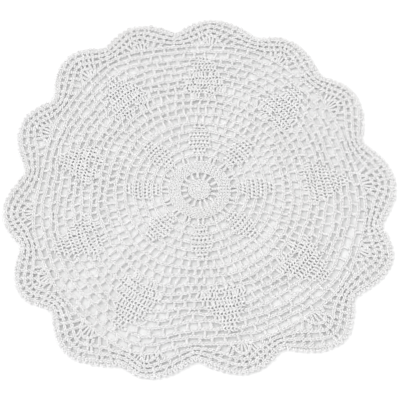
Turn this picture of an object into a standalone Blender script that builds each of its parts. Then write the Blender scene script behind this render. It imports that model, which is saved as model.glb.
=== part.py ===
# Round crocheted lace tablecloth, lying flat on a table.
#
# The cloth is worked in one piece from the middle outwards, so it is one sheet: a solid middle disc, a wheel
# of posts, a ring of petals, small leaves, an even net with larger leaves in it, and a border of scallops.
# The gaps of the net are cut at about twice the pitch of the crochet, so each stands for four of its meshes.
#
# Metres, +Z up. The origin is the middle of the wheel on the underside, and +Y points at the far edge.

import math

import bpy

MM = 0.001

# Two strands of 2 mm yarn lie on each other in a stitch
THICKNESS = 4.0 * MM

# Widths of what is left standing between two gaps: a post of the wheel, and a bar of the net
POST_WIDTH = 4.4 * MM
NET_BAR = 7.0 * MM

# Rounds near the middle, as radii
DISC_RADIUS = 15.5 * MM
WHEEL_OUTER = 28.5 * MM
WHEEL_POSTS = 16
PETAL_GAP_INNER = 44.5 * MM
PETAL_GAP_OUTER = 56.0 * MM

# Every scallop of the border, anticlockwise from the right: where its tip is and how far out it reaches,
# then the same for the notch that follows it. The cloth is handmade, and no two are alike.
SCALLOPS = (
    # tip_deg, tip_mm, notch_deg, notch_mm
    (2.0, 302, 18.0, 265),
    (35.0, 297, 46.0, 275),
    (60.5, 301, 71.0, 282),
    (86.0, 302, 97.5, 278),
    (111.0, 307, 121.5, 290),
    (131.5, 314, 146.0, 277),
    (157.0, 303, 173.5, 270),
    (188.5, 304, 199.0, 286),
    (212.0, 319, 221.5, 293),
    (234.0, 329, 248.0, 304),
    (253.5, 312, 269.0, 273),
    (284.5, 303, 295.5, 282),
    (310.5, 324, 322.5, 288),
    (337.5, 314, 348.0, 282),
)
BORDER_DEPTH_AT_NOTCH = 24 * MM
LOBE_ROUNDNESS = 1.1
OUTLINE_STEPS = 7

# Where a scallop's posts stand on the net: 0 gathers them under its tip, 1 spreads them from notch to notch.
# The power keeps the middle ones together and lets those near the notches run out to it.
FAN_SPREAD = 0.25
FAN_GATHER = 4

# The middles of the leaves, in degrees
SMALL_LEAVES = (2, 46, 90, 137, 179, 226, 272, 318)
LARGE_LEAVES = (4, 47, 88, 126, 166, 204, 241, 281, 323)

# Bands of gaps between the small leaves: inner and outer radius, how far the leaf reaches to either side of
# its middle, and how many gaps stand between one leaf and the next. Past the leaves the net begins.
SMALL_LEAF_BANDS = (
    # inner_mm, outer_mm, leaf_half_deg, gaps
    (58.0, 84.0, 12.5, 1),
    (84.0, 112.0, 9.0, 2),
    (112.0, 138.0, 0.0, 4),
)
NET_INNER = 138 * MM

# Bands of gaps in the rest of the net, as shares of the way from there to the border
NET_BANDS = (
    # inner_share, outer_share, leaf_half_deg, gaps
    (0.00, 0.25, 0.0, 4),
    (0.25, 0.51, 9.0, 3),
    (0.51, 0.76, 6.5, 4),
    (0.76, 1.00, 0.0, 6),
)

# Slots of a scallop: how many, then pitch and width as shares of the way from its middle to its notch, then
# the stretch that they take of the way from the net to the edge
FAN_GAPS = 4
FAN_PITCH = 0.36
FAN_GAP_WIDTH = 0.62
FAN_INNER = 0.34
FAN_OUTER = 0.84

# Shapes of one gap in a unit square: across it, then outwards
NET_GAP = ((0.2, 0), (0.8, 0), (1, 0.5), (0.8, 1), (0.2, 1), (0, 0.5))
WEDGE = ((0.15, 0), (0.85, 0), (1, 0.7), (0.5, 1), (0, 0.7))
PETAL_GAP = ((0.5, 0), (1, 0.7), (0.85, 1), (0.15, 1), (0, 0.7))
FAN_SLOT = ((0.5, 0), (0.95, 0.25), (1, 0.8), (0.5, 1), (0, 0.8), (0.05, 0.25))

COTTON_WHITE = (0.86, 0.86, 0.85, 1.0)


def mix(a, b, share):
    """The value at this share of the way from a to b."""
    return a + (b - a) * share


def polar(radius, degrees):
    """The point at this radius and angle."""
    turn = math.radians(degrees)
    return radius * math.cos(turn), radius * math.sin(turn)


def spans(degrees):
    """Each angle with the next one anticlockwise, the last one with the first a turn on."""
    return [(a, b if b > a else b + 360) for a, b in zip(degrees, degrees[1:] + degrees[:1])]


def net_outer(degrees):
    """Radius of the round where the net ends and the border begins: it swells where the notches stand far out."""
    notches = [row[2] for row in SCALLOPS]
    reaches = [row[3] * MM - BORDER_DEPTH_AT_NOTCH for row in SCALLOPS]
    for (start, end), a, b in zip(spans(notches), reaches, reaches[1:] + reaches[:1]):
        along = (degrees - start) % 360
        if along <= end - start:
            ease = 0.5 - 0.5 * math.cos(math.pi * along / (end - start))
            return mix(a, b, ease)
    return reaches[0]


def border_point(index, across, outwards):
    """Point of scallop index: across runs from its notch before (-1) over its tip (0) to the notch after (1),
    and outwards from the net (0) to the edge (1). The lines of equal across fan out of the scallop's foot."""
    tip_deg, tip_mm, after_deg, after_mm = SCALLOPS[index]
    before_deg, before_mm = SCALLOPS[index - 1][2:]
    if before_deg > tip_deg:
        before_deg -= 360
    notch_deg, notch_mm = (after_deg, after_mm) if across > 0 else (before_deg, before_mm)
    side = abs(across)
    rise = math.sin(math.pi / 2 * (1 - side)) ** LOBE_ROUNDNESS
    edge = polar(mix(notch_mm, tip_mm, rise) * MM, mix(tip_deg, notch_deg, side))
    foot_deg = mix(tip_deg, notch_deg, mix(side**FAN_GATHER, side, FAN_SPREAD))
    foot = polar(net_outer(foot_deg), foot_deg)
    return mix(foot[0], edge[0], outwards), mix(foot[1], edge[1], outwards)


def outline():
    """The scalloped edge, from notch to notch."""
    points = []
    for index in range(len(SCALLOPS)):
        for step in range(-OUTLINE_STEPS, OUTLINE_STEPS):
            points.append(border_point(index, step / OUTLINE_STEPS, 1))
    return points


def cell(shape, start_deg, end_deg, inner, outer, post_width):
    """One gap between two posts of a round. inner and outer give its radii at an angle."""
    middle = (start_deg + end_deg) / 2
    points = []
    for across, outwards in shape:
        radius = mix(inner(middle), outer(middle), outwards)
        post = math.degrees(post_width / 2 / radius)
        angle = mix(start_deg + post, end_deg - post, across)
        points.append(polar(mix(inner(angle), outer(angle), outwards), angle))
    return points


def band(centres, leaf_half_deg, gaps, inner, outer):
    """The gaps of one band of net, spread evenly between each leaf and the next."""
    found = []
    for start, end in spans(centres):
        start += leaf_half_deg
        pitch = (end - leaf_half_deg - start) / gaps
        for index in range(gaps):
            a = start + index * pitch
            found.append(cell(NET_GAP, a, a + pitch, inner, outer, NET_BAR))
    return found


def level(radius):
    """A round that keeps one radius all the way round."""
    return lambda degrees: radius


def net_round(share, shift=0.0):
    """A round of the net at this share of the way to the border, moved outwards by shift."""
    return lambda degrees: mix(NET_INNER, net_outer(degrees), share) + shift


def wheel_openings():
    """The gaps between the wheel's posts, and the petal gaps: two from each small leaf to the next."""
    found = []
    pitch = 360 / WHEEL_POSTS
    for index in range(WHEEL_POSTS):
        inner, outer = level(DISC_RADIUS), level(WHEEL_OUTER)
        found.append(cell(WEDGE, index * pitch, (index + 1) * pitch, inner, outer, POST_WIDTH))
    for start, end in spans(SMALL_LEAVES):
        for a, b in ((start, (start + end) / 2), ((start + end) / 2, end)):
            inner, outer = level(PETAL_GAP_INNER), level(PETAL_GAP_OUTER)
            found.append(cell(PETAL_GAP, a, b, inner, outer, POST_WIDTH))
    return found


def net_openings():
    """The gaps between the small leaves and those of the net between the large ones."""
    found = []
    half_bar = NET_BAR / 2
    for inner_mm, outer_mm, leaf_half, gaps in SMALL_LEAF_BANDS:
        inner, outer = level(inner_mm * MM + half_bar), level(outer_mm * MM - half_bar)
        found += band(SMALL_LEAVES, leaf_half, gaps, inner, outer)
    for inner_share, outer_share, leaf_half, gaps in NET_BANDS:
        inner, outer = net_round(inner_share, half_bar), net_round(outer_share, -half_bar)
        found += band(LARGE_LEAVES, leaf_half, gaps, inner, outer)
    return found


def fan_openings():
    """The slots between the posts that fan out in every scallop."""
    found = []
    width = FAN_PITCH * FAN_GAP_WIDTH
    for index in range(len(SCALLOPS)):
        for gap in range(FAN_GAPS):
            start = (gap - (FAN_GAPS - 1) / 2) * FAN_PITCH - width / 2
            found.append([
                border_point(index, start + across * width, mix(FAN_INNER, FAN_OUTER, outwards))
                for across, outwards in FAN_SLOT
            ])
    return found


def cotton():
    """Mercerised white cotton."""
    material = bpy.data.materials.new("white_cotton")
    material.use_nodes = True
    shader = material.node_tree.nodes["Principled BSDF"]
    shader.inputs["Base Color"].default_value = COTTON_WHITE
    shader.inputs["Roughness"].default_value = 0.85
    shader.inputs["Metallic"].default_value = 0.0
    return material


def lace_cloth():
    """The whole cloth as one flat sheet, cut through at its gaps."""
    curve = bpy.data.curves.new("lace_cloth", "CURVE")
    curve.dimensions = "2D"
    curve.fill_mode = "BOTH"
    curve.extrude = THICKNESS / 2
    for points in [outline()] + wheel_openings() + net_openings() + fan_openings():
        spline = curve.splines.new("POLY")
        spline.points.add(len(points) - 1)
        for slot, (x, y) in zip(spline.points, points):
            slot.co = (x, y, 0, 1)
        spline.use_cyclic_u = True
    curve.materials.append(cotton())
    cloth = bpy.data.objects.new("lace_cloth", curve)
    cloth.location.z = THICKNESS / 2
    return cloth


def main():
    for old in list(bpy.data.objects):
        bpy.data.objects.remove(old)
    collection = bpy.data.collections.new("round_lace_tablecloth")
    bpy.context.scene.collection.children.link(collection)
    collection.objects.link(lace_cloth())


main()
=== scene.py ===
import math

import bpy
import numpy as np
from bpy.props import FloatProperty, FloatVectorProperty, IntProperty, PointerProperty, StringProperty
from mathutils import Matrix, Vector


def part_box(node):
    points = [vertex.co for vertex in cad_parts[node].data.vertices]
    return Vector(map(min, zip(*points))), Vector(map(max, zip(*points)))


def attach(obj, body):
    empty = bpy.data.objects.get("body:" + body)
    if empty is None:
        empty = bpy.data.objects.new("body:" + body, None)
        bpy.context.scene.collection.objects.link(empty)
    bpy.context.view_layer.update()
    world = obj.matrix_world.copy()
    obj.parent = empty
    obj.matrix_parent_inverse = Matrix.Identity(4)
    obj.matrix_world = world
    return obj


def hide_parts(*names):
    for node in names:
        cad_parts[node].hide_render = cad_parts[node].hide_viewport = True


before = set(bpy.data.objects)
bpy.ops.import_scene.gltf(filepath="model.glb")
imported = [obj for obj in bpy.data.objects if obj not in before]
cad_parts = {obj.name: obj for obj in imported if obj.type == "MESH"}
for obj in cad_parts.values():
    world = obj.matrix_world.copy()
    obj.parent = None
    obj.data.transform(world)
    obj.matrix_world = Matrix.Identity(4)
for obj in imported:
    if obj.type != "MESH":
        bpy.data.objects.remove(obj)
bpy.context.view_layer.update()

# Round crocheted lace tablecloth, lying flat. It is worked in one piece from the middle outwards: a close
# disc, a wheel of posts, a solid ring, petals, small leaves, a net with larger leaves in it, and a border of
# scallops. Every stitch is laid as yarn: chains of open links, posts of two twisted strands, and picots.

bl_info = {
    "name": "Round crocheted tablecloth",
    "version": (1, 0, 0),
    "blender": (4, 5, 0),
    "location": "3D View > Sidebar > Lace",
    "description": "Works a round lace tablecloth stitch by stitch, in chains and posts of cotton yarn",
    "category": "Object",
}

# The frame's node and body that the crochet stands for
CLOTH_NODE = "lace_cloth"
CLOTH_BODY = "root"

# Everything on the cloth is in millimetres, and degrees anticlockwise from the right, seen from above
MM = 0.001
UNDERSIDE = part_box(CLOTH_NODE)[0][2] / MM

# Every scallop of the border: where its tip is and how far out it reaches, then the same for the notch after
# it. The cloth is handmade, and no two are alike.
SCALLOPS = (
    # tip_deg, tip_mm, notch_deg, notch_mm
    (2.0, 302, 18.0, 265),
    (35.0, 297, 46.0, 275),
    (60.5, 301, 71.0, 282),
    (86.0, 302, 97.5, 278),
    (111.0, 307, 121.5, 290),
    (131.5, 314, 146.0, 277),
    (157.0, 303, 173.5, 270),
    (188.5, 304, 199.0, 286),
    (212.0, 319, 221.5, 293),
    (234.0, 329, 248.0, 304),
    (253.5, 312, 269.0, 273),
    (284.5, 303, 295.5, 282),
    (310.5, 324, 322.5, 288),
    (337.5, 314, 348.0, 282),
)

# The border is this deep at a notch, and its edge rises from there to a tip by a sine to this power
BORDER_DEPTH_AT_NOTCH = 24.0
LOBE_ROUNDNESS = 1.1

# Where a scallop's posts stand on the net: 0 gathers them under its tip, 1 spreads them from notch to notch.
# The power keeps the middle ones together and lets those near the notches run out to it.
FAN_SPREAD = 0.25
FAN_GATHER = 4

# The middles of the leaves
SMALL_LEAVES = (2, 46, 90, 137, 179, 226, 272, 318)
LARGE_LEAVES = (4, 47, 88, 126, 166, 204, 241, 281, 323)

# Middle of the cloth: a disc of close rounds, the wheel with its first post turned a little past the right,
# and a solid ring of close rounds
DISC_ROUNDS = (2.2, 6.5, 10.9, 15.2)
WHEEL_INNER = 16.6
WHEEL_OUTER = 31.2
WHEEL_POSTS = 16
WHEEL_TURN = 4
WHEEL_POST_WIDTH = 5.6
RING_ROUNDS = (31.4, 36.3, 41.2, 46.1)

# Petals: one stands at the middle of each small leaf, and one halfway to the next. The posts of a petal lean
# together, from this many degrees to either side of its middle at their feet to fewer at their heads.
PETALS_TO_A_LEAF = 2
PETAL_POSTS = 2
PETAL_POST_WIDTH = 5.8
PETAL_FOOT_DEG = 5.0
PETAL_HEAD_DEG = 2.8

# Rounds of the small leaves: where the round ends, the posts in the leaf's lower row and how far they reach
# to either side of its middle, and the open cells from one leaf to the next
LEAF_ROUNDS_INNER = 60.0
LEAF_ROUNDS = (
    # outer_mm, leaf_posts, leaf_half_deg, cells
    (74.0, 5, 8.5, 2),
    (88.0, 7, 12.0, 2),
    (101.5, 7, 10.0, 3),
    (115.0, 4, 5.0, 4),
)
LEAF_ROW_POST_WIDTH = 4.6
LEAF_ROW_CHAIN_WIDTH = 4.2

# Rounds of the net: the leaves that it is counted from, its cells from one leaf to the next, and the leaf's
# chart in that round, centred on the leaf's middle: x is a cell filled with posts and a dot an open one
NET_ROUNDS = (
    # leaves, cells, chart
    (SMALL_LEAVES, 8, "."),
    (SMALL_LEAVES, 9, ".."),
    (LARGE_LEAVES, 8, "."),
    (LARGE_LEAVES, 9, "x.x"),
    (LARGE_LEAVES, 9, "xx.xx"),
    (LARGE_LEAVES, 9, "xxxx"),
    (LARGE_LEAVES, 9, "xxx"),
    (LARGE_LEAVES, 9, "xx"),
    (LARGE_LEAVES, 9, "x"),
    (LARGE_LEAVES, 9, ".."),
    (LARGE_LEAVES, 9, "."),
)
NET_PIECES = (
    # name, first_round, past_round
    ("inner_net", 0, 3),
    ("leaf_net", 3, 7),
    ("outer_net", 7, 11),
)

# The net starts where the small leaves end. Its rounds share the way to the border by a power, which makes
# the outer ones lower.
NET_INNER = LEAF_ROUNDS[-1][0]
NET_ROUNDS_POWER = 0.92

# The posts of a filled cell stand this far from its middle, in cells
FILLING = (-1 / 6, 1 / 6)

# Waves by which a round of the net strays from its even course, and how far each turns from round to round
NET_SWAY = (
    # height_mm, waves_round_the_cloth, turn_in_radians
    (0.9, 3, 2.1),
    (0.8, 7, -1.3),
    (0.8, 17, 4.7),
    (0.8, 41, 8.3),
)

# The net's posts lean at their heads: each by chance, and together by waves that turn from round to round
NET_LEAN = 1.1
NET_DRIFT = 1.8
NET_DRIFT_WAVES = 4
NET_DRIFT_TURN = 2.6

# Widths in the net: a post of a leaf, and the chain on a round in the open net and where it goes over a leaf
LEAF_POST_WIDTH = 5.6
NET_CHAIN_WIDTH = 6.0
LEAF_CHAIN_WIDTH = 9.2

# Border: every scallop stands on a shell of long posts, which dies out to either side, and open rounds go
# over the shells and right round the cloth. Levels are shares of the way from the net to the edge. The reach
# of a shell and the spread of its posts are shares of the way from a scallop's middle to its notch.
SHELL_LEVEL = 0.36
SHELL_REACH = 0.62
SHELL_POSTS = 6
SHELL_SPREAD = 0.52
SHELL_CHAIN_WIDTH = 5.6
FAN_ROUNDS = (
    # level_at_tip, level_at_notch, posts, chain_width
    (0.55, 0.28, 11, 5.8),
    (0.735, 0.56, 12, 5.8),
    (0.92, 0.82, 12, 5.8),
)
# A round falls off from tip to notch by this power
FAN_FALL = 1.3

# Posts of the border are as wide as this share of the gap to the nearer neighbour, and have no waist. They
# stray along their round by this share of their pitch, and crowd towards the notches by this share of a sine.
FAN_POST_SHARE = 0.70
FAN_POST_WAIST = 0.0
FAN_STRAY = 0.14
FAN_CROWDING = 0.35

# Picots: how far in from the edge they stand, how far apart, how wide to either side as a share of that
# pitch, and how far out they reach
PICOT_INSET = 3.2
PICOT_PITCH = 8.8
PICOT_HALF_WIDTH = 0.27
PICOT_REACH = 3.6

# One chain stitch, seen from above: two legs that open from its foot and tuck under the next one
CHAIN_STITCH = (
    # along (in stitches), across (in leg spacings), up (in yarn thicknesses)
    (1.00, -0.38, -0.40),
    (0.78, -0.50, 0.00),
    (0.38, -0.42, 0.24),
    (0.00, -0.06, 0.00),
    (0.38, 0.42, 0.24),
    (0.78, 0.50, 0.00),
    (1.00, 0.38, -0.40),
)

# A chain's middle lies this many yarn thicknesses over the table. The spacing of its legs varies between
# these shares, and it strays by this share of what a post does, because its neighbours hold it.
CHAIN_HEIGHT = 1.45
CHAIN_SPACINGS = (0.9, 1.1)
CHAIN_STRAY = 0.4

# Two strands of a post turn round each other once in the twist's length. They start and end inside the
# chains, this far from the post's foot and head, but never further than the share of its length. They stand
# further apart at both ends by the share of the waist, and as much closer halfway.
POST_TWIST = 8.0
POST_TUCK = 1.7
POST_TUCK_SHARE = 0.25
POST_WAIST = 0.25

# Posts vary in width between these shares, up to the widest, and one that would be too short is left out. The
# middles of its strands turn at least this far apart, and rise and fall by a share of their reach aside.
POST_WIDTHS = (0.88, 1.12)
WIDEST_POST = 6.8
SHORTEST_POST = 3.0
CLOSEST_STRANDS = 0.3
STRAND_RISE = 0.4

# Soft waves of the cloth: millimetres of x and of y to a radian, and where they start. The broad ones bend,
# and lower ones run askew to them. The cloth rises and falls by the swing about a middle height, both shares
# of the ripple, and lies on the table where that would be below it.
BROAD_WAVES = (31, 37)
BROAD_START = 1.1
BROAD_BEND = 0.7
BROAD_BEND_LENGTH = 47
SKEW_WAVES = (19, -23)
SKEW_START = 2.0
SKEW_HEIGHT = 0.6
RIPPLE_MIDDLE = 0.35
RIPPLE_SWING = 0.4

# Points that a line is drawn with: once round the cloth, over a scallop or its shell, over a leaf's row, and
# on one strand of a post and one picot
ALL_ROUND = np.linspace(0, 360, 720, endpoint=False)
SCALLOP_POINTS = 24
LEAF_ROW_POINTS = 12
STRAND_POINTS = 8
PICOT_POINTS = 6

# Each piece draws its small irregularities from a seed of its own, one of the hundred that a cloth has
PIECE_SEEDS = {
    "rosette": 1,
    "inner_net": 2,
    "leaf_net": 3,
    "outer_net": 4,
    "fans": 5,
    "edging": 6,
    "small_leaves": 8,
}
SEEDS_TO_A_CLOTH = 100

# The yarn's plies, the length in which they turn once, and how much they stand out against the fuzz
PLIES = 3
PLY_TURN = 9.0
PLY_RELIEF = 0.35

# Colour of the patches that have yellowed a little, as an sRGB hex value
YELLOWED = "#DFDEDD"

# A Mix node's sockets for colours, which share their names with those for numbers and vectors
COLOUR_A = 6
COLOUR_B = 7
COLOUR_RESULT = 2

# The light comes from low all round, as in a light tent. It falls off from one height to the other, to a
# share of its strength overhead. A height is the sine of the elevation that the light comes from.
GLOW_FALLS_FROM = 0.45
GLOW_FALLS_TO = 0.75
GLOW_OVERHEAD = 0.34

# Where the key light comes from, and how wide it looks, in degrees
KEY_DIRECTION = 152
KEY_ELEVATION = 46
KEY_WIDTH = 42

# The floor lies this many millimetres under the cloth, and reaches this many metres to every side
FLOOR_BELOW = 0.2
FLOOR_REACH = 3.0


class LaceYarnSettings(bpy.types.PropertyGroup):
    """The cotton and how tightly it is worked."""

    width: FloatProperty(name="Yarn width", description="Width of the cotton as it lies pressed in the cloth",
                         default=2.8 * MM, min=0.5 * MM, unit="LENGTH")
    thickness: FloatProperty(name="Yarn thickness", description="Height of the cotton as it lies pressed",
                             default=1.8 * MM, min=0.5 * MM, unit="LENGTH")
    sides: IntProperty(name="Sides", description="Faces round the yarn", default=6, min=3)
    chain_pitch: FloatProperty(name="Chain length", description="Length of one chain stitch",
                               default=5.4 * MM, unit="LENGTH")
    leg_spacing: FloatProperty(name="Leg spacing", description="Distance between a chain stitch's two legs",
                               default=3.2 * MM, unit="LENGTH")
    post_width: FloatProperty(name="Post width", description="Width across the two strands of a post",
                              default=5.6 * MM, unit="LENGTH")
    unevenness: FloatProperty(name="Unevenness", description="How far a stitch strays from its place",
                              default=0.9 * MM, unit="LENGTH")
    ripple: FloatProperty(name="Ripple", description="Height of the soft waves in the cloth as it lies",
                          default=1.3 * MM, unit="LENGTH")
    colour: StringProperty(name="Colour", description="Colour of the bleached cotton, as an sRGB hex value",
                           default="#E0E0E1")
    seed: IntProperty(name="Seed", description="Picks the stitches' small irregularities", default=7)


class LaceStageSettings(bpy.types.PropertyGroup):
    """The view and its light."""

    elevation: FloatProperty(name="Elevation", description="Height of the view over the table",
                             default=math.radians(66), subtype="ANGLE")
    distance: FloatProperty(name="Distance", description="From the camera to the cloth's middle",
                            default=2.4, unit="LENGTH")
    lens: FloatProperty(name="Lens", description="Focal length in millimetres", default=140.0)
    shift: FloatVectorProperty(name="Shift", description="Moves the cloth in the picture, in picture widths",
                               size=2, default=(0.00125, -0.02375))
    key: FloatProperty(name="Key light", description="Strength of the soft light from the far left",
                       default=1.05)
    glow: FloatProperty(name="Glow", description="Strength of the light from low all round", default=1.80)
    floor: StringProperty(name="Floor", description="Colour of the floor, as an sRGB hex value",
                          default="#F3F3F3")


def mix(a, b, share):
    """The value at this share of the way from a to b."""
    return a + (b - a) * share


def unit(vectors):
    """The vectors at length one."""
    return vectors / np.linalg.norm(vectors, axis=-1, keepdims=True)


def leftwards(steps):
    """Each step in the plane, turned a quarter to the left."""
    return np.stack([-steps[:, 1], steps[:, 0]], axis=-1)


def polar(radius, degrees):
    """Points at these radii and angles."""
    turn = np.radians(degrees)
    return np.stack([radius * np.cos(turn), radius * np.sin(turn)], axis=-1)


def round_line(radius):
    """A closed circle."""
    return polar(radius, ALL_ROUND)


def linear(colour):
    """An sRGB hex colour as linear red, green, blue and alpha."""
    channels = [int(colour[place:place + 2], 16) / 255 for place in (1, 3, 5)]
    return [c / 12.92 if c <= 0.04045 else ((c + 0.055) / 1.055) ** 2.4 for c in channels] + [1.0]


def enclosed(line):
    """Area inside a closed line."""
    x, y = line[:, 0], line[:, 1]
    return abs(float((x * np.roll(y, -1) - y * np.roll(x, -1)).sum())) / 2


def perimeter(line):
    """Length of a closed line."""
    return float(np.linalg.norm(line - np.roll(line, -1, axis=0), axis=1).sum())


def evenly(line, pitch, closed=True):
    """Points along a line, this far apart as nearly as its length allows."""
    if closed:
        line = np.concatenate([line, line[:1]])
    lengths = np.linalg.norm(np.diff(line, axis=0), axis=1)
    run = np.concatenate([[0], np.cumsum(lengths)])
    count = max(round(run[-1] / pitch), 1)
    places = np.linspace(0, run[-1], count + 1)
    return np.stack([np.interp(places, run, line[:, axis]) for axis in (0, 1)], axis=-1)


def spans(leaves):
    """Each leaf's middle with the next one's, the last with the first a turn on."""
    return list(zip(leaves, leaves[1:] + (leaves[0] + 360,)))


def parted(leaves, parts, shift=0.0):
    """Angles that part the way from each leaf's middle to the next into equal steps, moved on by a share."""
    return np.concatenate([
        start + (np.arange(parts) + shift) * (end - start) / parts
        for start, end in spans(leaves)
    ])


def net_edge(degrees):
    """Radius of the round where the net ends and the border begins: it swells where notches stand far out."""
    notch_deg = np.array([row[2] for row in SCALLOPS])
    reach = np.array([row[3] for row in SCALLOPS]) - BORDER_DEPTH_AT_NOTCH
    degrees = np.asarray(degrees, float) % 360
    before = (np.searchsorted(notch_deg, degrees, side="right") - 1) % len(SCALLOPS)
    after = (before + 1) % len(SCALLOPS)
    span = (notch_deg[after] - notch_deg[before]) % 360
    along = (degrees - notch_deg[before]) % 360 / span
    return mix(reach[before], reach[after], 0.5 - 0.5 * np.cos(math.pi * along))


def sway(level, degrees):
    """How far a round strays from its even course at these angles: each round wanders in its own way."""
    turn = np.radians(degrees)
    return sum(height * np.sin(waves * turn + shift * level) for height, waves, shift in NET_SWAY)


def net_point(level, degrees):
    """Points on a round of the net, counted from its inner one. The first and the last keep their even
    course, because the leaves and the border join the net there."""
    degrees = np.asarray(degrees, float)
    share = (level / len(NET_ROUNDS))**NET_ROUNDS_POWER
    free = min(level, len(NET_ROUNDS) - level, 1)
    radius = mix(NET_INNER, net_edge(degrees), share) + free * sway(level, degrees)
    return polar(radius, degrees)


def border_point(index, across, outwards, inset=0.0):
    """Points of scallop index: across runs from its notch before (-1) over its tip (0) to the notch after
    (1), and outwards from the net (0) to the edge (1). The lines of equal across fan out of its foot."""
    tip_deg, tip_mm, after_deg, after_mm = SCALLOPS[index]
    before_deg, before_mm = SCALLOPS[index - 1][2:]
    if before_deg > tip_deg:
        before_deg -= 360
    across = np.asarray(across, float)
    notch_deg = np.where(across > 0, after_deg, before_deg)
    notch_mm = np.where(across > 0, after_mm, before_mm)
    side = abs(across)
    rise = np.sin(math.pi / 2 * (1 - side)) ** LOBE_ROUNDNESS
    edge = polar(mix(notch_mm, tip_mm, rise) - inset, mix(tip_deg, notch_deg, side))
    foot_deg = mix(tip_deg, notch_deg, mix(side**FAN_GATHER, side, FAN_SPREAD))
    foot = polar(net_edge(foot_deg), foot_deg)
    return mix(foot, edge, np.reshape(outwards, (-1, 1)))


def shell_level(across):
    """How far out the shell of a scallop reaches, as a share of the way from the net to the edge."""
    return SHELL_LEVEL * np.clip(1 - (across / SHELL_REACH)**2, 0, None)


def fan_level(row, across):
    """How far out a round of the border lies there. Round -1 is the top of the shells."""
    if row < 0:
        return shell_level(across)
    at_tip, at_notch = FAN_ROUNDS[row][:2]
    return mix(at_tip, at_notch, abs(across)**FAN_FALL)


def border_line(level, inset=0.0):
    """A closed line round the whole border, whose level is a share or a function of across."""
    across = np.linspace(-1, 1, SCALLOP_POINTS, endpoint=False)
    outwards = level(across) if callable(level) else level
    return np.concatenate([border_point(i, across, outwards, inset) for i in range(len(SCALLOPS))])


def round_of_fans(row):
    """The closed line of one round of the border."""
    return border_line(lambda across: fan_level(row, across))


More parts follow.
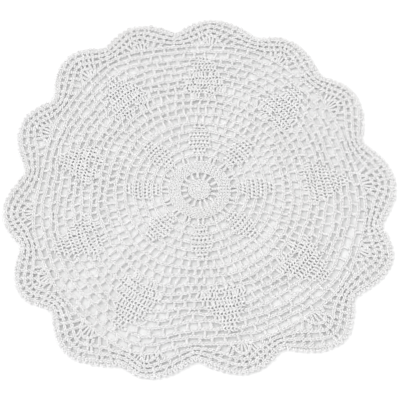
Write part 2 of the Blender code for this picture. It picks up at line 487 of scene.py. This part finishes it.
class Crochet:
    """Yarn paths of one piece, gathered stitch by stitch and made into one mesh at the end."""

    def __init__(self, yarn, name):
        self.yarn = yarn
        self.name = name
        self.random = np.random.default_rng(yarn.seed * SEEDS_TO_A_CLOTH + PIECE_SEEDS[name])
        self.paths = []

    def lay(self, flat, lift):
        """Adds yarns: an array of yarn, point and x, y, and how high over the table the points are before the
        cloth's ripple lifts them."""
        rise = UNDERSIDE + self.ripple(flat[..., 0], flat[..., 1])
        self.paths.append(np.dstack([flat, rise + lift]))

    def ripple(self, x, y):
        """Height of the cloth's soft waves, from nothing up: it lies flat but not pressed."""
        broad = (np.sin(x / BROAD_WAVES[0] + BROAD_BEND * np.sin(y / BROAD_BEND_LENGTH))
                 * np.sin(y / BROAD_WAVES[1] + BROAD_START))
        skew = SKEW_HEIGHT * np.sin(x / SKEW_WAVES[0] + y / SKEW_WAVES[1] + SKEW_START)
        return self.yarn.ripple / MM * np.clip(RIPPLE_MIDDLE + RIPPLE_SWING * (broad + skew), 0, None)

    def stray(self, count):
        """Small random moves in the plane, one for each stitch, mostly within the yarn's unevenness."""
        return self.random.normal(0, self.yarn.unevenness / MM / 2, (count, 2))

    def leg_spacing(self, width, starts):
        """Distance between a chain's legs at this width, which may be a function of where a stitch starts."""
        if width is None:
            return self.yarn.leg_spacing / MM
        return (width(starts) if callable(width) else width) - self.yarn.width / MM

    def chain_height(self):
        """The middle of a chain stitch, over the table."""
        return CHAIN_HEIGHT * self.yarn.thickness / MM

    def chain(self, line, closed=True, width=None):
        """A row of chain stitches along a line, of the yarn's own width or the one given."""
        points = evenly(line, self.yarn.chain_pitch / MM, closed)
        step = np.diff(points, axis=0)
        shape = np.array(CHAIN_STITCH)
        spacing = self.leg_spacing(width, points[:-1]) * self.random.uniform(*CHAIN_SPACINGS, len(step))
        along = shape[:, 0] * step[:, :, None]
        across = shape[:, 1] * unit(leftwards(step))[:, :, None] * spacing[:, None, None]
        flat = (points[:-1, :, None] + along + across).swapaxes(1, 2)
        flat += self.stray(len(step))[:, None, :] * CHAIN_STRAY
        self.lay(flat, self.chain_height() + shape[:, 2] * self.yarn.thickness / MM)

    def posts(self, feet, heads, width=None, waist=POST_WAIST):
        """A post from each foot to its head, unless that is too short for one."""
        feet = feet + self.stray(len(feet))
        heads = heads + self.stray(len(heads))
        width = self.yarn.post_width / MM if width is None else width
        width = np.minimum(width * self.random.uniform(*POST_WIDTHS, len(feet)), WIDEST_POST)
        span = np.linalg.norm(heads - feet, axis=1)
        tall = span > SHORTEST_POST
        feet, heads, width, span = feet[tall], heads[tall], width[tall], span[tall]
        along = np.linspace(0, 1, STRAND_POINTS)
        tuck = np.minimum(POST_TUCK, span * POST_TUCK_SHARE)
        run = tuck[:, None] + (span - 2 * tuck)[:, None] * along
        swell = 1.0 + waist * np.cos(2 * math.pi * along)
        reach = np.clip(width - self.yarn.width / MM, CLOSEST_STRANDS, None)[:, None] / 2 * swell
        start = self.random.uniform(0, math.pi, (len(feet), 1))
        forward = unit(heads - feet)
        for strand in (0, math.pi):
            turn = start + strand + 2 * math.pi * run / POST_TWIST
            self.strands(feet, forward, run, reach, turn)

    def strands(self, feet, forward, run, reach, turn):
        """One strand of each post: how far along the post its points are, how far they reach from the post's
        middle, and how far the strand has turned there."""
        flat = feet[:, None, :] + forward[:, None, :] * run[:, :, None]
        flat = flat + leftwards(forward)[:, None, :] * (reach * np.cos(turn))[:, :, None]
        self.lay(flat, self.yarn.thickness / MM + STRAND_RISE * reach * np.sin(turn))

    def picots(self, line):
        """Small loops of yarn that stand out from a line that runs anticlockwise, one after another."""
        points = evenly(line, PICOT_PITCH)
        step = np.diff(points, axis=0)
        out = -unit(leftwards(step))
        around = np.linspace(0, math.pi, PICOT_POINTS)
        along = 0.5 - PICOT_HALF_WIDTH * np.cos(around)
        reach = PICOT_REACH * np.sin(around)
        flat = points[:-1, None, :] + step[:, None, :] * along[None, :, None]
        flat = flat + out[:, None, :] * reach[None, :, None] + self.stray(len(step))[:, None, :]
        self.lay(flat, self.chain_height())

    def blocks(self):
        """The paths joined into arrays of equal point counts."""
        counts = sorted({path.shape[1] for path in self.paths})
        return [np.concatenate([path for path in self.paths if path.shape[1] == count]) for count in counts]


def directions(path):
    """Unit vectors along each yarn at each of its points."""
    along = np.empty_like(path)
    along[:, 1:-1] = path[:, 2:] - path[:, :-2]
    along[:, 0] = path[:, 1] - path[:, 0]
    along[:, -1] = path[:, -1] - path[:, -2]
    return unit(along)


def yarn_points(path, width, thickness, sides):
    """Rings of points round each yarn, which lies on its flat side."""
    along = directions(path)
    level = unit(np.cross(along, (0.0, 0.0, 1.0)))
    down = np.cross(along, level)
    turn = np.arange(sides) * 2 * math.pi / sides
    rim = (level[:, :, None, :] * (width / 2 * np.cos(turn))[:, None]
           + down[:, :, None, :] * (thickness / 2 * np.sin(turn))[:, None])
    return (path[:, :, None, :] + rim).reshape(-1, 3)


def yarn_faces(yarns, rings, sides):
    """The four-cornered faces round yarns of this many rings, and the flat faces that close both ends."""
    index = np.arange(yarns * rings * sides).reshape(yarns, rings, sides)
    here, there = index[:, :-1], index[:, 1:]
    walls = np.stack([here, np.roll(here, -1, 2), np.roll(there, -1, 2), there], axis=-1)
    ends = np.concatenate([index[:, 0, ::-1], index[:, -1]])
    return walls.reshape(-1, 4), ends


def yarn_places(path, sides):
    """For each corner of the faces round yarns, the distance along a yarn and the share of the way round."""
    lengths = np.linalg.norm(np.diff(path, axis=1), axis=2)
    run = np.concatenate([np.zeros((len(path), 1)), np.cumsum(lengths, axis=1)], axis=1)
    shape = lengths.shape + (sides,)
    low, high = (np.broadcast_to(part[:, :, None], shape) for part in (run[:, :-1], run[:, 1:]))
    left = np.broadcast_to(np.arange(sides) / sides, shape)
    right = left + 1 / sides
    return np.stack([low, left, low, right, high, right, high, left], axis=-1).reshape(-1, 2)


def yarn_mesh(crochet):
    """One mesh of all the yarns that a piece is worked from, each with a tone of its own."""
    yarn = crochet.yarn
    points, walls, ends, places, tones = [], [], [], [], []
    offset = 0
    for block in crochet.blocks():
        yarns, rings = block.shape[:2]
        block_walls, block_ends = yarn_faces(yarns, rings, yarn.sides)
        points.append(yarn_points(block, yarn.width / MM, yarn.thickness / MM, yarn.sides))
        walls.append(block_walls + offset)
        ends.append(block_ends + offset)
        places.append(yarn_places(block, yarn.sides))
        tones.append(np.repeat(crochet.random.random(yarns), rings * yarn.sides))
        offset += len(points[-1])
    return smooth_mesh(crochet.name, *map(np.concatenate, (points, walls, ends, places, tones)))


def smooth_mesh(name, points, walls, ends, places, tones):
    """A smooth mesh with the yarn's coordinates on its walls and a tone at each point."""
    mesh = bpy.data.meshes.new(name)
    corners = np.concatenate([walls.ravel(), ends.ravel()])
    sizes = np.repeat([walls.shape[1], ends.shape[1]], [len(walls), len(ends)])
    mesh.vertices.add(len(points))
    mesh.vertices.foreach_set("co", (points * MM).ravel())
    mesh.loops.add(len(corners))
    mesh.loops.foreach_set("vertex_index", corners)
    mesh.polygons.add(len(sizes))
    mesh.polygons.foreach_set("loop_start", np.concatenate([[0], np.cumsum(sizes)[:-1]]))
    uv = np.concatenate([places, np.zeros((ends.size, 2))])
    mesh.uv_layers.new(name="yarn").uv.foreach_set("vector", uv.ravel())
    mesh.attributes.new("tone", "FLOAT", "POINT").data.foreach_set("value", tones)
    mesh.update(calc_edges=True)
    if mesh.validate():
        raise RuntimeError(f"{name}: the mesh held faces that aren't sound")
    mesh.shade_smooth()
    return mesh


def make_piece(crochet, outer, inner=None):
    """The piece as an object in the scene, in place of the cloth's solid. Its true flat size is worked out
    but not used: a disc by its width and length, and a ring as the strip that it is worked as, as long as the
    round that it starts from and as deep as it is on average."""
    mesh = yarn_mesh(crochet)
    mesh.materials.append(crochet_cotton(crochet.yarn.colour))
    piece = bpy.data.objects.new(crochet.name, mesh)
    bpy.context.scene.collection.objects.link(piece)
    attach(piece, CLOTH_BODY)
    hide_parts(CLOTH_NODE)
    area = enclosed(outer) * MM**2
    width, length = (float(side) * MM for side in np.ptp(outer, axis=0))
    if inner is not None:
        area -= enclosed(inner) * MM**2
        length = perimeter(inner) * MM
        width = area / length


def add_node(tree, kind, settings=(), links=()):
    """Adds a shader node, with its settings and inputs, and what is linked to its inputs. Inputs go by name,
    or by number where several share one."""
    made = tree.nodes.new(kind)
    for name, value in dict(settings).items():
        if isinstance(name, int) or name in made.inputs:
            made.inputs[name].default_value = value
        else:
            setattr(made, name, value)
    for name, socket in dict(links).items():
        tree.links.new(socket, made.inputs[name])
    return made


def crochet_cotton(colour):
    """Bleached crochet cotton, three plies twisted and lightly mercerised: a soft matt white, faintly glossy
    on the crown of each ply and a little fluffy, with stitches that differ by a shade."""
    known = bpy.data.materials.get("crochet_cotton")
    if known:
        return known
    material = bpy.data.materials.new("crochet_cotton")
    material.use_nodes = True
    tree = material.node_tree
    shader = tree.nodes["Principled BSDF"]
    shader.inputs["Roughness"].default_value = 0.78
    shader.inputs["IOR"].default_value = 1.53
    shader.inputs["Sheen Weight"].default_value = 0.15
    shader.inputs["Sheen Roughness"].default_value = 0.5
    spot = add_node(tree, "ShaderNodeNewGeometry").outputs["Position"]
    tree.links.new(twisted_plies(tree, spot), shader.inputs["Normal"])
    tree.links.new(bleached_shades(tree, spot, colour), shader.inputs["Base Color"])
    return material


def twisted_plies(tree, spot):
    """Relief of the plies, which wind along the yarn's own coordinates, and of the fuzz on them."""
    place = add_node(tree, "ShaderNodeUVMap", {"uv_map": "yarn"})
    parts = add_node(tree, "ShaderNodeSeparateXYZ", links={0: place.outputs[0]})
    along = add_node(tree, "ShaderNodeMath", {"operation": "MULTIPLY", 1: 2 * math.pi * PLIES / PLY_TURN},
                     {0: parts.outputs[0]})
    around = add_node(tree, "ShaderNodeMath", {"operation": "MULTIPLY_ADD", 1: 2 * math.pi * PLIES},
                      {0: parts.outputs[1], 2: along.outputs[0]})
    plies = add_node(tree, "ShaderNodeMath", {"operation": "SINE"}, {0: around.outputs[0]})
    # Fibres are about 0.02 mm, drawn as a 0.4 mm fuzz, which is the finest that shows
    fuzz = add_node(tree, "ShaderNodeTexNoise", {"Scale": 2500.0, "Detail": 3.0, "Roughness": 0.6},
                    {"Vector": spot})
    relief = add_node(tree, "ShaderNodeMath", {"operation": "MULTIPLY_ADD", 1: PLY_RELIEF},
                      {0: plies.outputs[0], 2: fuzz.outputs["Fac"]})
    bump = add_node(tree, "ShaderNodeBump", {"Strength": 0.6, "Distance": 0.25 * MM},
                    {"Height": relief.outputs[0]})
    return bump.outputs[0]


def bleached_shades(tree, spot, colour):
    """The cotton's colour: stitches differ by a shade, and the cloth yellows a little in soft patches."""
    tone = add_node(tree, "ShaderNodeAttribute", {"attribute_name": "tone"})
    shade = add_node(tree, "ShaderNodeMapRange", {"To Min": 0.94, "To Max": 1.0},
                     {"Value": tone.outputs["Fac"]})
    patch = add_node(tree, "ShaderNodeTexNoise", {"Scale": 9.0, "Detail": 1.0}, {"Vector": spot})
    base = add_node(tree, "ShaderNodeMix", {
        "data_type": "RGBA",
        COLOUR_A: linear(colour),
        COLOUR_B: linear(YELLOWED),
    }, {0: patch.outputs["Fac"]})
    tinted = add_node(tree, "ShaderNodeVectorMath", {"operation": "SCALE"},
                      {0: base.outputs[COLOUR_RESULT], "Scale": shade.outputs[0]})
    return tinted.outputs[0]


def painted_board(colour):
    """A plain board with matt white paint."""
    material = bpy.data.materials.new("painted_board")
    material.use_nodes = True
    shader = material.node_tree.nodes["Principled BSDF"]
    shader.inputs["Base Color"].default_value = linear(colour)
    shader.inputs["Roughness"].default_value = 0.9
    return material


def spread_posts(middles, half_foot, half_head, count, inner, outer):
    """Feet and heads of posts that stand side by side, up to these degrees to either side of each middle."""
    share = np.linspace(-1, 1, count)
    feet = np.concatenate([polar(inner, middle + share * half_foot) for middle in middles])
    heads = np.concatenate([polar(outer, middle + share * half_head) for middle in middles])
    return feet, heads


def work_rosette(crochet):
    """The disc in the middle, the wheel round it, the solid ring and the petals."""
    for radius in DISC_ROUNDS:
        crochet.chain(round_line(radius))
    spokes = np.arange(WHEEL_POSTS) * 360 / WHEEL_POSTS + WHEEL_TURN
    crochet.posts(polar(WHEEL_INNER, spokes), polar(WHEEL_OUTER, spokes), WHEEL_POST_WIDTH)
    for radius in RING_ROUNDS:
        crochet.chain(round_line(radius))
    petals = parted(SMALL_LEAVES, PETALS_TO_A_LEAF)
    crochet.posts(*spread_posts(petals, PETAL_FOOT_DEG, PETAL_HEAD_DEG, PETAL_POSTS, RING_ROUNDS[-1],
                                LEAF_ROUNDS_INNER), PETAL_POST_WIDTH)
    crochet.chain(round_line(LEAF_ROUNDS_INNER))


def work_leaf_round(crochet, inner, outer, count, half, cells):
    """One round of the small leaves and the open cells between them. In a leaf it is two low rows, and the
    posts of the upper one stand over the gaps of the lower one."""
    middle = (inner + outer) / 2
    upper_half = half * (1 - 1 / count)
    crochet.posts(*spread_posts(SMALL_LEAVES, half, half, count, inner, middle), LEAF_ROW_POST_WIDTH)
    crochet.posts(*spread_posts(SMALL_LEAVES, upper_half, upper_half, count - 1, middle, outer),
                  LEAF_ROW_POST_WIDTH)
    for leaf in SMALL_LEAVES:
        line = polar(middle, leaf + np.linspace(-half, half, LEAF_ROW_POINTS))
        crochet.chain(line, False, LEAF_ROW_CHAIN_WIDTH)
    for start, end in spans(SMALL_LEAVES):
        angles = np.linspace(start + half, end - half, cells + 1)[1:-1]
        crochet.posts(polar(inner, angles), polar(outer, angles))
    crochet.chain(round_line(outer))


def work_small_leaves(crochet):
    """The small leaves, round by round."""
    inner = LEAF_ROUNDS_INNER
    for outer, count, half, cells in LEAF_ROUNDS:
        work_leaf_round(crochet, inner, outer, count, half, cells)
        inner = outer


def filled_cells(leaves, cells, chart):
    """Angles of the posts in the filled cells of every leaf, for one round's chart. A cell to either side of
    a leaf's middle is as wide as the open ones up to the next leaf on that side."""
    middles = [place - (len(chart) - 1) / 2 for place, mark in enumerate(chart) if mark == "x"]
    offsets = [middle + side for middle in middles for side in FILLING]
    found = []
    for at, (start, end) in enumerate(spans(leaves)):
        before = (start - leaves[at - 1]) % 360 / cells
        after = (end - start) / cells
        found += [start + offset * (after if offset > 0 else before) for offset in offsets]
    return np.array(found)


def net_chain_width(leaves, cells, chart):
    """The function that gives the chain on a round its width: it is wider where it goes over the leaves."""
    half_deg = len(chart) / 2 * 360 / len(leaves) / cells if "x" in chart else 0

    def width(points):
        degrees = np.degrees(np.arctan2(points[:, 1], points[:, 0]))
        off = abs((degrees[:, None] - np.array(leaves) + 180) % 360 - 180).min(axis=1)
        return np.where(off < half_deg, LEAF_CHAIN_WIDTH, NET_CHAIN_WIDTH)

    return width


def work_net_posts(crochet, level, angles, width=None):
    """Posts of one round of the net at these angles, each with its lean."""
    feet = net_point(level, angles)
    lean = crochet.random.normal(0, NET_LEAN, len(angles))
    lean += NET_DRIFT * np.sin(np.radians(NET_DRIFT_WAVES * angles) + NET_DRIFT_TURN * level)
    heads = net_point(level + 1, angles + np.degrees(lean / np.linalg.norm(feet, axis=1)))
    crochet.posts(feet, heads, width)


def work_net(crochet, first, past):
    """Rounds of the net from first up to past, each with its posts and the chain round on them."""
    for level in range(first, past):
        leaves, cells, chart = NET_ROUNDS[level]
        work_net_posts(crochet, level, parted(leaves, cells, len(chart) % 2 / 2))
        if "x" in chart:
            work_net_posts(crochet, level, filled_cells(leaves, cells, chart), LEAF_POST_WIDTH)
        crochet.chain(net_point(level + 1, ALL_ROUND), width=net_chain_width(leaves, cells, chart))


def gaps_between(points):
    """Distance from each point to its nearer neighbour in the row."""
    steps = np.linalg.norm(np.diff(points, axis=0), axis=1)
    return np.minimum(np.append(steps, steps[-1]), np.insert(steps, 0, steps[0]))


def work_border_posts(crochet, feet, heads):
    """Posts of the border, as wide as the gaps between them allow."""
    crochet.posts(feet, heads, FAN_POST_SHARE * gaps_between(heads), FAN_POST_WAIST)


def work_shells(crochet):
    """The shell of posts that each scallop stands on, and the chain over it."""
    across = np.linspace(-SHELL_SPREAD, SHELL_SPREAD, SHELL_POSTS)
    over = np.linspace(-SHELL_REACH, SHELL_REACH, SCALLOP_POINTS)
    for index in range(len(SCALLOPS)):
        feet = border_point(index, across, 0.0)
        work_border_posts(crochet, feet, border_point(index, across, shell_level(across)))
        crochet.chain(border_point(index, over, shell_level(over)), False, SHELL_CHAIN_WIDTH)


def work_fans(crochet, row):
    """One round of the border: posts that fan out, and the chain round on them."""
    count, chain_width = FAN_ROUNDS[row][2:]
    for index in range(len(SCALLOPS)):
        places = np.arange(count) + 0.5 + crochet.random.normal(0, FAN_STRAY, count)
        even = places / count * 2 - 1
        across = mix(even, np.sin(math.pi / 2 * even), FAN_CROWDING)
        feet = border_point(index, across, fan_level(row - 1, across))
        work_border_posts(crochet, feet, border_point(index, across, fan_level(row, across)))
    crochet.chain(round_of_fans(row), width=chain_width)


def work_edging(crochet):
    """The last round of the border, and the picots along the edge."""
    work_fans(crochet, len(FAN_ROUNDS) - 1)
    crochet.picots(border_line(1.0, PICOT_INSET))


def lay_floor(stage):
    """A plain matt board, painted off-white."""
    below = (UNDERSIDE - FLOOR_BELOW) * MM
    corners = [(x * FLOOR_REACH, y * FLOOR_REACH, below) for x, y in ((-1, -1), (1, -1), (1, 1), (-1, 1))]
    mesh = bpy.data.meshes.new("floor")
    mesh.from_pydata(corners, [], [(0, 1, 2, 3)])
    mesh.materials.append(painted_board(stage.floor))
    floor = bpy.data.objects.new("floor", mesh)
    bpy.context.scene.collection.objects.link(floor)


def hang_key_light(scene, stage):
    """A soft key from the far left."""
    data = bpy.data.lights.new("key_light", "SUN")
    data.energy = stage.key
    data.angle = math.radians(KEY_WIDTH)
    light = bpy.data.objects.new("key_light", data)
    light.rotation_euler = (0, math.radians(90 - KEY_ELEVATION), math.radians(KEY_DIRECTION))
    scene.collection.objects.link(light)


def pitch_light_tent(scene, stage):
    """A glow from low all round that is weaker overhead."""
    world = bpy.data.worlds.new("light_tent")
    world.use_nodes = True
    tree = world.node_tree
    place = add_node(tree, "ShaderNodeTexCoord")
    height = add_node(tree, "ShaderNodeSeparateXYZ", links={0: place.outputs["Generated"]})
    fall = add_node(tree, "ShaderNodeMapRange", {
        "interpolation_type": "SMOOTHSTEP",
        "From Min": GLOW_FALLS_FROM,
        "From Max": GLOW_FALLS_TO,
        "To Min": stage.glow,
        "To Max": stage.glow * GLOW_OVERHEAD,
    }, {"Value": height.outputs["Z"]})
    background = tree.nodes["Background"]
    background.inputs["Color"].default_value = (1.0, 1.0, 1.0, 1.0)
    tree.links.new(fall.outputs[0], background.inputs["Strength"])
    scene.world = world
    scene.view_settings.view_transform = "Standard"


def place_camera(scene, stage):
    """A long lens that looks down on the cloth from the front."""
    data = bpy.data.cameras.new("camera")
    data.lens = stage.lens
    data.shift_x, data.shift_y = stage.shift
    camera = bpy.data.objects.new("camera", data)
    low = math.cos(stage.elevation) * stage.distance
    high = math.sin(stage.elevation) * stage.distance
    camera.location = (0, -low, high)
    camera.rotation_euler = (math.pi / 2 - stage.elevation, 0, 0)
    scene.collection.objects.link(camera)
    scene.camera = camera


class LaceOperator:
    """What the operators of the cloth's pieces share."""

    bl_options = {"REGISTER", "UNDO"}

    def crochet(self, context, name):
        """The yarn of one piece, with nothing worked yet."""
        return Crochet(context.scene.lace_yarn, name)


class LACE_OT_rosette(LaceOperator, bpy.types.Operator):
    """Work the middle of the cloth, with its disc, its wheel, its solid ring and its petals"""

    bl_idname = "lace.rosette"
    bl_label = "Rosette"

    def execute(self, context):
        rosette = self.crochet(context, "rosette")
        work_rosette(rosette)
        make_piece(rosette, round_line(LEAF_ROUNDS_INNER))
        return {"FINISHED"}


class LACE_OT_small_leaves(LaceOperator, bpy.types.Operator):
    """Work the small leaves round the rosette, with the open cells between them"""

    bl_idname = "lace.small_leaves"
    bl_label = "Small leaves"

    def execute(self, context):
        leaves = self.crochet(context, "small_leaves")
        work_small_leaves(leaves)
        make_piece(leaves, round_line(NET_INNER), round_line(LEAF_ROUNDS_INNER))
        return {"FINISHED"}


class LACE_OT_net(LaceOperator, bpy.types.Operator):
    """Work the net: its open rounds, those with the large leaves, and those up to the border"""

    bl_idname = "lace.net"
    bl_label = "Net and large leaves"

    def execute(self, context):
        for name, first, past in NET_PIECES:
            net = self.crochet(context, name)
            work_net(net, first, past)
            make_piece(net, net_point(past, ALL_ROUND), net_point(first, ALL_ROUND))
        return {"FINISHED"}


class LACE_OT_border(LaceOperator, bpy.types.Operator):
    """Work the scalloped border: the shells and open rounds of its fans, and the edging with its picots"""

    bl_idname = "lace.border"
    bl_label = "Fans and edging"

    def execute(self, context):
        last = len(FAN_ROUNDS) - 1
        fans = self.crochet(context, "fans")
        work_shells(fans)
        for row in range(last):
            work_fans(fans, row)
        make_piece(fans, round_of_fans(last - 1), border_line(0.0))
        edging = self.crochet(context, "edging")
        work_edging(edging)
        make_piece(edging, border_line(1.0), round_of_fans(last - 1))
        return {"FINISHED"}


class LACE_OT_stage(bpy.types.Operator):
    """Lay the floor, and set the light and the camera"""

    bl_idname = "lace.stage"
    bl_label = "Floor, light and camera"

    def execute(self, context):
        scene = context.scene
        lay_floor(scene.lace_stage)
        hang_key_light(scene, scene.lace_stage)
        pitch_light_tent(scene, scene.lace_stage)
        place_camera(scene, scene.lace_stage)
        return {"FINISHED"}


STEPS = (LACE_OT_rosette, LACE_OT_small_leaves, LACE_OT_net, LACE_OT_border, LACE_OT_stage)


class LACE_PT_panel(bpy.types.Panel):
    """Settings and steps of the tablecloth"""

    bl_idname = "LACE_PT_panel"
    bl_label = "Round tablecloth"
    bl_space_type = "VIEW_3D"
    bl_region_type = "UI"
    bl_category = "Lace"

    def draw(self, context):
        for group in (context.scene.lace_yarn, context.scene.lace_stage):
            box = self.layout.box()
            for name in group.bl_rna.properties.keys():
                if name not in ("rna_type", "name"):
                    box.prop(group, name)
        for operator in STEPS:
            self.layout.operator(operator.bl_idname)


CLASSES = (LaceYarnSettings, LaceStageSettings, *STEPS, LACE_PT_panel)


def register():
    for item in CLASSES:
        bpy.utils.register_class(item)
    bpy.types.Scene.lace_yarn = PointerProperty(type=LaceYarnSettings)
    bpy.types.Scene.lace_stage = PointerProperty(type=LaceStageSettings)


def unregister():
    del bpy.types.Scene.lace_stage
    del bpy.types.Scene.lace_yarn
    for item in reversed(CLASSES):
        bpy.utils.unregister_class(item)


def main():
    """Registers the add-on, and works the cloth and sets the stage."""
    register()
    bpy.ops.lace.rosette()
    bpy.ops.lace.small_leaves()
    bpy.ops.lace.net()
    bpy.ops.lace.border()
    bpy.ops.lace.stage()


if __name__ == "__main__":
    main()
